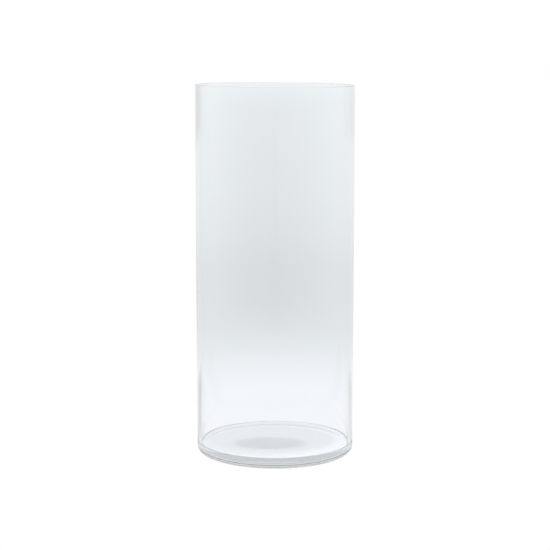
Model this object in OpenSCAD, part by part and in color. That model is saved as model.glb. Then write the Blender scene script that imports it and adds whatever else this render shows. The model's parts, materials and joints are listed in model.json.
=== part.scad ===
// Clear glass cylinder vase.
// The vase is one blown piece of glass. It is drawn here as the four regions that a glassmaker
// names, each a closed solid that meets its neighbour face to face:
//   rim   the flat polished lip round the mouth, with softened edges
//   wall  the plain tube
//   heel  the thick ring that turns the wall into the base, with the foot that it stands on
//   base  the disc inside the heel, with a very shallow push-up under it
// Millimetres, +Z up. The origin is the centre of the underside, on the table.

/* [Cylinder] */
// Outside diameter of the wall
outer_d = 149; // [100:1:250]
// Height from the table to the top of the rim
height = 350; // [150:10:600]
// Thickness of the glass wall
wall_t = 3.5; // [3:0.25:6]
// Height of the rim region
rim_h = 6; // [5:0.5:10]
// Radius of the softened edges of the rim
rim_r = 0.3; // [0.2:0.1:1.4]

/* [Base] */
// Thickness of the glass between the table and the inside floor
floor_t = 11; // [7:0.5:18]
// Width of the heel ring, from the base to the outside of the wall
heel_w = 14; // [13:1:20]
// Radius of the rounded outside corner at the table
heel_r = 7; // [2:0.5:8]
// Radius of the fillet between the inside floor and the wall
fillet_r = 0.5; // [0.5:0.5:6]
// Rise of the push-up at the centre of the underside
push_up = 0.2; // [0.2:0.1:3]
// Width of the flat margin of the base round the push-up
push_up_margin = 1; // [1:1:15]

/* [Hidden] */

outer_r = outer_d / 2;
inner_r = outer_r - wall_t;
base_r = outer_r - heel_w;
// The fillet leaves the inside floor at this radius, and meets the wall at the top of the heel.
fillet_x = inner_r - fillet_r;
heel_h = floor_t + fillet_r;
wall_top = height - rim_h;
push_up_r = base_r - push_up_margin;
// Radius of the sphere that hollows the push-up out of the underside
push_up_sphere_r = (pow(push_up_r, 2) + pow(push_up, 2)) / (2 * push_up);

round_fn = 180;
fine_fn = 1440;
$fn = round_fn;

// Half outlines, with x as the radius and y as the height.

// What is cut away to round a corner at the origin, on a shape that fills +x and +y
module corner(r) {
  difference() {
    square(r);
    translate([r, r]) circle(r = r);
  }
}

module rim_outline() {
  difference() {
    translate([inner_r, wall_top]) square([wall_t, rim_h]);
    translate([outer_r, height]) rotate(180) corner(rim_r);
    translate([inner_r, height]) mirror([0, 1]) corner(rim_r);
  }
}

module wall_outline() {
  translate([inner_r, heel_h]) square([wall_t, wall_top - heel_h]);
}

module heel_outline() {
  difference() {
    translate([base_r, 0]) square([heel_w, heel_h]);
    translate([outer_r, 0]) mirror([1, 0]) corner(heel_r);
    translate([base_r, floor_t]) square([fillet_x - base_r, fillet_r]);
    translate([fillet_x, heel_h]) circle(r = fillet_r);
  }
}

module base_outline() {
  difference() {
    square([base_r, floor_t]);
    intersection() {
      translate([0, push_up - push_up_sphere_r]) circle(r = push_up_sphere_r, $fn = fine_fn);
      translate([0, -push_up]) square([base_r, 2 * push_up]);
    }
  }
}

module rim() {
  color("azure") rotate_extrude() rim_outline();
}

module wall() {
  color("aliceblue") rotate_extrude() wall_outline();
}

module heel() {
  color("lightcyan") rotate_extrude() heel_outline();
}

module base() {
  color("lightblue") rotate_extrude() base_outline();
}

rim();
wall();
heel();
base();
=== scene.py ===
import json
import math

import bpy
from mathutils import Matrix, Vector, noise


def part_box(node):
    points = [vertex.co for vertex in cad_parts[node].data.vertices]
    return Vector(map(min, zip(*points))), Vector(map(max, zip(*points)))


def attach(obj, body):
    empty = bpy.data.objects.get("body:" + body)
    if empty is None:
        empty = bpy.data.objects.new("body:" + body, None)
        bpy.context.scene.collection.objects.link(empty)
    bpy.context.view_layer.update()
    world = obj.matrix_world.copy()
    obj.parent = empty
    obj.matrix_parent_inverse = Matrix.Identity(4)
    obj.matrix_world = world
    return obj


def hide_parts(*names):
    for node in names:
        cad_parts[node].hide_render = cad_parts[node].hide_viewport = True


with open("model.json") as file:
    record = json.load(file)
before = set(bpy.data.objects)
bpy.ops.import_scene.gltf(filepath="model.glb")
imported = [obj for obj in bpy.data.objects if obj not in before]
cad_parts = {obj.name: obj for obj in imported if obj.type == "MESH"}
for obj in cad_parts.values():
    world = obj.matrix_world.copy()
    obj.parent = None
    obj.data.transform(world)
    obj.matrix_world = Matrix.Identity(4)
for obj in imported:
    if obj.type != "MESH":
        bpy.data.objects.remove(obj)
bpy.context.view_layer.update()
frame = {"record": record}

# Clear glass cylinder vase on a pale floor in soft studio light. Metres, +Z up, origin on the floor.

MM = 0.001
TAU = 2 * math.pi


# ---------------------------------------------------------------- sizes, from the CAD frame

def mount(name):
    """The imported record's mount of that name."""
    return next(m for m in frame["record"]["mounts"] if m["name"] == name)


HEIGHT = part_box("rim")[1][2]
INNER_R = mount("inside")["dims"]["r_mm"] * MM
FLOOR_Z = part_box("base")[1][2]
FILLET_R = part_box("heel")[1][2] - FLOOR_Z
# The frame's boxes are of meshes, so the outside radius is taken to the nearest tenth of a millimetre.
OUTER_R = round(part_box("wall")[1][0] / MM, 1) * MM
HEEL_R = 7.0 * MM
LIP_R = 0.3 * MM
PUSH_UP = 0.2 * MM
PUSH_UP_R = 59.5 * MM
# The rim dips a little towards +X. The dip grows with this power of the height.
RIM_LEAN = 0.9 * MM
LEAN_POWER = 4


# ---------------------------------------------------------------- camera

# Metres from the axis and above the floor, the angle looked down, lens and sensor in millimetres.
CAMERA_DISTANCE = 1.494
CAMERA_HEIGHT = 0.3978
CAMERA_PITCH = math.radians(8.66)
CAMERA_LENS = 104.3
CAMERA_SENSOR = 36.0
CAMERA_REACH = 100.0


def make_camera():
    data = bpy.data.cameras.new("camera")
    data.lens = CAMERA_LENS
    data.sensor_width = CAMERA_SENSOR
    data.clip_end = CAMERA_REACH
    camera = bpy.data.objects.new("camera", data)
    bpy.context.scene.collection.objects.link(camera)
    camera.location = (0.0, -CAMERA_DISTANCE, CAMERA_HEIGHT)
    camera.rotation_euler = (math.pi / 2 - CAMERA_PITCH, 0.0, 0.0)
    bpy.context.scene.camera = camera


# ---------------------------------------------------------------- node helpers

class Nodes:
    """A node tree, built one node at a time."""

    def __init__(self, tree):
        self.tree = tree
        tree.nodes.clear()

    def add(self, kind, **settings):
        node = self.tree.nodes.new(kind)
        for name, value in settings.items():
            setattr(node, name, value)
        return node

    def link(self, source, target):
        self.tree.links.new(source, target)

    def math(self, operation, a, b=None):
        node = self.add("ShaderNodeMath", operation=operation)
        for socket, value in zip(node.inputs, (a, b)):
            if value is None:
                continue
            if isinstance(value, (int, float)):
                socket.default_value = value
            else:
                self.link(value, socket)
        return node.outputs[0]

    def smooth(self, value, start, end):
        """0 before start and 1 past end, with a soft step between."""
        node = self.add("ShaderNodeMapRange", interpolation_type="SMOOTHSTEP")
        self.link(value, node.inputs["Value"])
        node.inputs["From Min"].default_value = start
        node.inputs["From Max"].default_value = end
        return node.outputs["Result"]

    def ramp(self, factor, stops):
        """A smooth colour ramp of grey levels: stops are (place, level)."""
        node = self.add("ShaderNodeValToRGB")
        elements = node.color_ramp.elements
        while len(elements) < len(stops):
            elements.new(0.5)
        for element, (place, level) in zip(elements, stops):
            element.position = place
            element.color = (level, level, level, 1.0)
        self.link(factor, node.inputs[0])
        return node.outputs[0]


# ---------------------------------------------------------------- studio

# The floor and the studio give out light and receive none, so the vase casts no shadow on them.
# They show plain white to the camera. What follows is what the glass sees of them, set to
# suit the front view. Metres, and greys from 0 to 1.

# How far the floor reaches, and how far it lies under the foot, which keeps the surfaces apart.
FLOOR_REACH = 12.0
FLOOR_DROP = 0.3 * MM
# Painted shade and light on the floor: its grey against the distance from the axis of the vase. The
# ramp runs on this power of the distance, so that the near stops have room.
FLOOR_CURVE = 0.25
FLOOR_PAINTED_SHADE = (
    (0.0, 0.93), (0.15, 0.985), (0.27, 0.975), (0.40, 0.93), (0.50, 0.875), (0.65, 0.828),
    (0.90, 0.810), (1.2, 0.810), (1.7, 0.855), (2.4, 0.885), (5.5, 0.918), (8.0, 0.925),
    (10.5, 0.95), (12.0, 0.95),
)
# A long soft shade behind the vase: how deep it is, how far it leans towards -X for each metre
# back, its half width at the vase and what that gains for each metre, and the share of the half
# width at which it has run out.
SHADE_DEPTH = 0.086
SHADE_LEAN = 0.005
SHADE_WIDTH = 0.06
SHADE_SPREAD = 0.10
SHADE_EDGE = 1.1
# Where it sets in and is full, and where it starts to fade and has lost the share SHADE_LOSS.
SHADE_FROM = 0.35
SHADE_FULL = 0.90
SHADE_FADES = 6.0
SHADE_FADED = 10.0
SHADE_LOSS = 0.5
# Soft oval shades: (centre, half width, half depth, softness, grey), drawn one over another.
OUTER_SHADE = ((-0.014, 0.018), 0.078, 0.068, 0.12, 0.80)
CONTACT_SHADE = ((-0.006, 0.0115), 0.062, 0.0485, 0.07, 0.72)
CENTRE_SHADE = ((-0.005, -0.006), 0.034, 0.022, 0.22, 0.47)
PATCHES = (OUTER_SHADE, CONTACT_SHADE, CENTRE_SHADE)
# The thin line of light that the rounded heel throws on the floor: its radii and softness, how far
# behind the axis it sets in and is full, and its grey.
HEEL_LIGHT_INNER = 0.0620
HEEL_LIGHT_OUTER = 0.0680
HEEL_LIGHT_SOFT = 1 * MM
HEEL_LIGHT_FROM = 0.01
HEEL_LIGHT_FULL = 0.05
HEEL_LIGHT_GREY = 0.92
# Dark cards beside the vase, which draw its edges: (side, from, to, depth). Each is drawn as a
# wedge of shade on the floor.
NEAR_LEFT_CARD = (-1.0, 0.0, 0.30, 0.26)
NEAR_RIGHT_CARD = (1.0, 0.0, 0.30, 0.18)
FAR_LEFT_CARD = (-1.0, 4.0, 40.0, 0.18)
FAR_RIGHT_CARD = (1.0, 4.0, 40.0, 0.08)
CARDS = (NEAR_LEFT_CARD, NEAR_RIGHT_CARD, FAR_LEFT_CARD, FAR_RIGHT_CARD)
# A wedge opens from this far aside, between an inner and an outer slope, in metres aside for each
# metre back. The slopes are soft by CARD_SOFT each way.
CARD_EDGE = 0.070
CARD_INNER = 0.30
CARD_OUTER = 0.95
CARD_SOFT = 0.20
# It sets in and fades over this share of the distance, each way. The extra length lets a card that
# starts at the vase set in softly too.
CARD_FADE = 0.2
CARD_FADE_EXTRA = 0.01
# Grey of the studio round the floor, against the height of the direction looked in.
WORLD_GREYS = ((0.0, 1.0), (0.2, 1.15), (0.5, 1.25), (1.0, 1.25))
# Tint of the studio and most of the floor, tint of the floor close to the vase, and where the
# second gives way to the first.
STUDIO_TINT = (0.983, 0.992, 1.004, 1.0)
NEAR_TINT = (1.0, 0.989, 1.01, 1.0)
NEAR_TINT_END = 0.10
STUDIO_TINT_START = 0.50
WHITE = (1.0, 1.0, 1.0, 1.0)


def colour_mix(nodes, factor, a, b, blend="MIX"):
    """Colour a mixed towards colour b. Each of the three inputs is a socket or a value."""
    node = nodes.add("ShaderNodeMix", data_type="RGBA", blend_type=blend)
    for name, value in (("Factor", factor), ("A", a), ("B", b)):
        socket = node.inputs[name]
        if isinstance(value, (int, float, tuple)):
            socket.default_value = value
        else:
            nodes.link(value, socket)
    return node.outputs["Result"]


def white_to_camera(nodes, colour, output):
    """The surface shows plain white to the camera and colour to the glass."""
    path = nodes.add("ShaderNodeLightPath")
    nodes.link(colour_mix(nodes, path.outputs["Is Camera Ray"], colour, WHITE), output)


def patch(nodes, split, centre, half_x, half_y, soft):
    """1 inside an oval patch of the floor and 0 outside. Its edge is soft for that share each way."""
    x = nodes.math("DIVIDE", nodes.math("SUBTRACT", split.outputs["X"], centre[0]), half_x)
    y = nodes.math("DIVIDE", nodes.math("SUBTRACT", split.outputs["Y"], centre[1]), half_y)
    squares = nodes.math("ADD", nodes.math("MULTIPLY", x, x), nodes.math("MULTIPLY", y, y))
    reach = nodes.math("SQRT", squares)
    return nodes.math("SUBTRACT", 1.0, nodes.smooth(reach, 1.0 - soft, 1.0 + soft))


def shade_behind(nodes, split, distance):
    """How much of the soft shade behind the vase is at a point of the floor."""
    width = nodes.math("ADD", nodes.math("MULTIPLY", distance, SHADE_SPREAD), SHADE_WIDTH)
    aside = nodes.math("ADD", split.outputs["X"], nodes.math("MULTIPLY", distance, SHADE_LEAN))
    across = nodes.math("DIVIDE", nodes.math("ABSOLUTE", aside), width)
    middle = nodes.math("SUBTRACT", 1.0, nodes.smooth(across, 0.0, SHADE_EDGE))
    along = nodes.smooth(distance, SHADE_FROM, SHADE_FULL)
    fading = nodes.smooth(distance, SHADE_FADES, SHADE_FADED)
    along = nodes.math("SUBTRACT", along, nodes.math("MULTIPLY", fading, SHADE_LOSS))
    return nodes.math("MULTIPLY", nodes.math("MULTIPLY", middle, along), SHADE_DEPTH)


def card_shade(nodes, split, side, start, end, depth):
    """Shade of one card: a wedge of floor that opens backwards from the side of the vase."""
    across = nodes.math("MULTIPLY", split.outputs["X"], side)
    back = nodes.math("MAXIMUM", split.outputs["Y"], MM)
    slope = nodes.math("DIVIDE", nodes.math("SUBTRACT", across, CARD_EDGE), back)
    inside = nodes.smooth(slope, CARD_INNER - CARD_SOFT, CARD_INNER + CARD_SOFT)
    outside = nodes.smooth(slope, CARD_OUTER - CARD_SOFT, CARD_OUTER + CARD_SOFT)
    wedge = nodes.math("SUBTRACT", inside, outside)
    before = 1 - CARD_FADE
    past = 1 + CARD_FADE
    near = nodes.smooth(split.outputs["Y"], start * before, start * past + CARD_FADE_EXTRA)
    far = nodes.smooth(split.outputs["Y"], end * before, end * past)
    length = nodes.math("SUBTRACT", near, far)
    return nodes.math("MULTIPLY", nodes.math("MULTIPLY", wedge, length), depth)


def heel_light(nodes, split, distance):
    """1 on the line of light under the back of the heel, 0 elsewhere."""
    soft = HEEL_LIGHT_SOFT
    inner = nodes.smooth(distance, HEEL_LIGHT_INNER - soft, HEEL_LIGHT_INNER + soft)
    outer = nodes.smooth(distance, HEEL_LIGHT_OUTER - soft, HEEL_LIGHT_OUTER + soft)
    behind = nodes.smooth(split.outputs["Y"], HEEL_LIGHT_FROM, HEEL_LIGHT_FULL)
    return nodes.math("MULTIPLY", nodes.math("SUBTRACT", inner, outer), behind)


def blend_grey(nodes, under, amount, level):
    """Grey under, with that amount of a grey level laid over it."""
    mix = nodes.add("ShaderNodeMix", data_type="FLOAT")
    nodes.link(amount, mix.inputs["Factor"])
    nodes.link(under, mix.inputs["A"])
    mix.inputs["B"].default_value = level
    return mix.outputs["Result"]


def make_floor():
    material = bpy.data.materials.new("pale_floor")
    material.use_nodes = True
    nodes = Nodes(material.node_tree)
    place = nodes.add("ShaderNodeNewGeometry").outputs["Position"]
    flat = nodes.add("ShaderNodeVectorMath", operation="MULTIPLY")
    flat.inputs[1].default_value = (1.0, 1.0, 0.0)
    nodes.link(place, flat.inputs[0])
    length = nodes.add("ShaderNodeVectorMath", operation="LENGTH")
    nodes.link(flat.outputs["Vector"], length.inputs[0])
    distance = length.outputs["Value"]
    # Painted shade and light: the floor's grey against the distance from the axis of the vase.
    share = nodes.math("POWER", nodes.math("DIVIDE", distance, FLOOR_REACH), FLOOR_CURVE)
    stops = [((d / FLOOR_REACH) ** FLOOR_CURVE, level) for d, level in FLOOR_PAINTED_SHADE]
    grey = nodes.ramp(share, stops)
    split = nodes.add("ShaderNodeSeparateXYZ")
    nodes.link(place, split.inputs[0])
    shade = shade_behind(nodes, split, distance)
    grey = nodes.math("MULTIPLY", grey, nodes.math("SUBTRACT", 1.0, shade))
    for side, start, end, depth in CARDS:
        card = card_shade(nodes, split, side, start, end, depth)
        grey = nodes.math("MULTIPLY", grey, nodes.math("SUBTRACT", 1.0, card))
    for centre, half_x, half_y, soft, level in PATCHES:
        grey = blend_grey(nodes, grey, patch(nodes, split, centre, half_x, half_y, soft), level)
    grey = blend_grey(nodes, grey, heel_light(nodes, split, distance), HEEL_LIGHT_GREY)
    away = nodes.smooth(distance, NEAR_TINT_END, STUDIO_TINT_START)
    tint = colour_mix(nodes, away, NEAR_TINT, STUDIO_TINT)
    colour = colour_mix(nodes, 1.0, grey, tint, blend="MULTIPLY")
    emission = nodes.add("ShaderNodeEmission")
    white_to_camera(nodes, colour, emission.inputs["Color"])
    # From below, the floor is see-through, so that the underside of the vase can be looked at.
    below = nodes.add("ShaderNodeNewGeometry").outputs["Backfacing"]
    clear = nodes.add("ShaderNodeBsdfTransparent")
    either = nodes.add("ShaderNodeMixShader")
    nodes.link(below, either.inputs["Fac"])
    nodes.link(emission.outputs["Emission"], either.inputs[1])
    nodes.link(clear.outputs["BSDF"], either.inputs[2])
    output = nodes.add("ShaderNodeOutputMaterial")
    nodes.link(either.outputs["Shader"], output.inputs["Surface"])

    mesh = bpy.data.meshes.new("floor")
    signs = ((-1, -1), (1, -1), (1, 1), (-1, 1))
    corners = [(x * FLOOR_REACH, y * FLOOR_REACH, -FLOOR_DROP) for x, y in signs]
    mesh.from_pydata(corners, [], [(0, 1, 2, 3)])
    mesh.materials.append(material)
    floor = bpy.data.objects.new("floor", mesh)
    bpy.context.scene.collection.objects.link(floor)


def make_world():
    world = bpy.data.worlds.new("studio")
    bpy.context.scene.world = world
    world.use_nodes = True
    nodes = Nodes(world.node_tree)
    way = nodes.add("ShaderNodeTexCoord").outputs["Generated"]
    split = nodes.add("ShaderNodeSeparateXYZ")
    nodes.link(way, split.inputs[0])
    height = nodes.math("MAXIMUM", split.outputs["Z"], 0.0)
    grey = nodes.ramp(height, WORLD_GREYS)
    background = nodes.add("ShaderNodeBackground")
    colour = colour_mix(nodes, 1.0, grey, STUDIO_TINT, blend="MULTIPLY")
    white_to_camera(nodes, colour, background.inputs["Color"])
    output = nodes.add("ShaderNodeOutputWorld")
    nodes.link(background.outputs["Background"], output.inputs["Surface"])


# ---------------------------------------------------------------- glass

# The tint grows with the length of glass that light passes through.
TINT_COLOUR = (0.44, 0.47, 0.48, 1.0)
TINT_DENSITY = 6.0
SURFACE_COLOUR = (0.975, 0.99, 1.0, 1.0)
IOR = 1.52
# Faint films left by wiping make the polish uneven: roughness where the glass is clean and where it
# isn't, scale of the noise, and the levels of the noise where a film starts and is full.
CLEAN_ROUGHNESS = 0.0
FILM_ROUGHNESS = 0.05
FILM_SCALE = 14.0
FILM_STARTS = 0.55
FILM_FULL = 0.75
# Shallow waves, drawn out along the height by blowing: scale of the noise round the glass and up
# it, strength and depth.
WAVE_SCALE = (30.0, 30.0, 6.0)
WAVE_STRENGTH = 0.1
WAVE_DEPTH = 0.2 * MM


def make_glass():
    material = bpy.data.materials.new("clear_glass")
    material.use_nodes = True
    nodes = Nodes(material.node_tree)
    shader = nodes.add("ShaderNodeBsdfPrincipled")
    shader.inputs["Base Color"].default_value = SURFACE_COLOUR
    shader.inputs["IOR"].default_value = IOR
    shader.inputs["Transmission Weight"].default_value = 1.0
    place = nodes.add("ShaderNodeTexCoord").outputs["Object"]
    film = nodes.add("ShaderNodeTexNoise")
    film.inputs["Scale"].default_value = FILM_SCALE
    nodes.link(place, film.inputs["Vector"])
    patchy = nodes.smooth(film.outputs["Fac"], FILM_STARTS, FILM_FULL)
    spread = nodes.math("MULTIPLY", patchy, FILM_ROUGHNESS - CLEAN_ROUGHNESS)
    nodes.link(nodes.math("ADD", spread, CLEAN_ROUGHNESS), shader.inputs["Roughness"])
    stretch = nodes.add("ShaderNodeVectorMath", operation="MULTIPLY")
    stretch.inputs[1].default_value = WAVE_SCALE
    nodes.link(place, stretch.inputs[0])
    waves = nodes.add("ShaderNodeTexNoise")
    waves.inputs["Scale"].default_value = 1.0
    nodes.link(stretch.outputs["Vector"], waves.inputs["Vector"])
    bump = nodes.add("ShaderNodeBump")
    bump.inputs["Strength"].default_value = WAVE_STRENGTH
    bump.inputs["Distance"].default_value = WAVE_DEPTH
    nodes.link(waves.outputs["Fac"], bump.inputs["Height"])
    nodes.link(bump.outputs["Normal"], shader.inputs["Normal"])
    tint = nodes.add("ShaderNodeVolumeAbsorption")
    tint.inputs["Color"].default_value = TINT_COLOUR
    tint.inputs["Density"].default_value = TINT_DENSITY
    output = nodes.add("ShaderNodeOutputMaterial")
    nodes.link(shader.outputs["BSDF"], output.inputs["Surface"])
    nodes.link(tint.outputs["Volume"], output.inputs["Volume"])
    return material


# ---------------------------------------------------------------- vase

# Faces round the axis, and steps along each part of the outline.
SEGMENTS = 256
FLOOR_STEP = 2 * MM
WALL_STEP = 4.0 * MM
UNDERSIDE_STEP = 1 * MM
FILLET_STEPS = 20
LIP_STEPS = 14
HEEL_STEPS = 20
EDGE_GAP = 0.05 * MM
# Blown glass is never quite even: depth of the ripples in the wall, scale of their noise, how much
# longer they are up the glass than round it, and the height above the inside floor where they are full.
RIPPLE_DEPTH = 0.15 * MM
RIPPLE_SCALE = 22.0
RIPPLE_STRETCH = 3
RIPPLE_FULL = 10 * MM


def arc(centre_r, centre_z, radius, start, end, steps):
    """Points on an arc in the (radius, height) plane, from start to end in degrees."""
    angles = [math.radians(start + (end - start) * i / steps) for i in range(steps + 1)]
    return [(centre_r + radius * math.cos(a), centre_z + radius * math.sin(a)) for a in angles]


def line(start, end, step):
    """Points from start towards end, about step apart, without either end.

    A point close to each end keeps the smooth shading of the curves off the straight.
    """
    length = math.dist(start, end)
    count = max(1, round(length / step))
    edge = EDGE_GAP / length
    shares = [edge] + [i / count for i in range(1, count)] + [1 - edge]
    return [tuple(a + (b - a) * share for a, b in zip(start, end)) for share in shares]


def underside(r):
    """Height of the underside at radius r: a flat foot round a shallow dome."""
    return PUSH_UP * max(0.0, 1.0 - (r / PUSH_UP_R) ** 2)


def outline():
    """The outline from near the centre of the inside floor, over the rim, to near the underside's."""
    fillet = arc(INNER_R - FILLET_R, FLOOR_Z + FILLET_R, FILLET_R, -90, 0, FILLET_STEPS)
    rim = arc(INNER_R + LIP_R, HEIGHT - LIP_R, LIP_R, 180, 90, LIP_STEPS)
    rim += arc(OUTER_R - LIP_R, HEIGHT - LIP_R, LIP_R, 90, 0, LIP_STEPS)
    heel = arc(OUTER_R - HEEL_R, HEEL_R, HEEL_R, 0, -90, HEEL_STEPS)
    points = line((0, FLOOR_Z), fillet[0], FLOOR_STEP)
    points += fillet
    points += line(fillet[-1], rim[0], WALL_STEP)
    points += rim
    points += line(rim[-1], heel[0], WALL_STEP)
    points += heel
    points += [(r, underside(r)) for r, z in line(heel[-1], (0.0, 0.0), UNDERSIDE_STEP)]
    return points


def rippled(r, angle, z):
    """The point at that radius, angle and height, with the wall's ripples and the rim's slight lean."""
    place = Vector((r * math.cos(angle), r * math.sin(angle), z / RIPPLE_STRETCH))
    rise = min(1.0, max(0.0, (z - FLOOR_Z) / RIPPLE_FULL))
    ripple = RIPPLE_DEPTH * rise * noise.noise(place * RIPPLE_SCALE)
    lean = RIM_LEAN / 2 * (1 + math.cos(angle)) * (z / HEIGHT) ** LEAN_POWER
    return ((r + ripple) * math.cos(angle), (r + ripple) * math.sin(angle), z - lean)


def make_vase(glass):
    """The whole vase as one closed skin, because its regions are one piece of glass."""
    points = outline()
    vertices = [rippled(r, TAU * s / SEGMENTS, z) for r, z in points for s in range(SEGMENTS)]
    faces = []
    for ring in range(len(points) - 1):
        for s in range(SEGMENTS):
            a = ring * SEGMENTS + s
            b = ring * SEGMENTS + (s + 1) % SEGMENTS
            faces.append((a, b, b + SEGMENTS, a + SEGMENTS))
    top = len(vertices)
    vertices.append((0.0, 0.0, FLOOR_Z))
    bottom = len(vertices)
    vertices.append((0.0, 0.0, PUSH_UP))
    last = (len(points) - 1) * SEGMENTS
    for s in range(SEGMENTS):
        t = (s + 1) % SEGMENTS
        faces.append((top, t, s))
        faces.append((bottom, last + s, last + t))
    mesh = bpy.data.meshes.new("vase")
    mesh.from_pydata(vertices, [], faces)
    mesh.flip_normals()
    mesh.materials.append(glass)
    mesh.shade_smooth()
    vase = bpy.data.objects.new("vase", mesh)
    bpy.context.scene.collection.objects.link(vase)
    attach(vase, "root")
    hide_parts("rim", "wall", "heel", "base")


# Light crosses many faces of the glass before it leaves.
BOUNCES = 64

make_camera()
make_floor()
make_world()
make_vase(make_glass())

bpy.context.scene.view_settings.view_transform = "Standard"
bpy.context.scene.cycles.transmission_bounces = BOUNCES
bpy.context.scene.cycles.glossy_bounces = BOUNCES
bpy.context.scene.cycles.max_bounces = BOUNCES
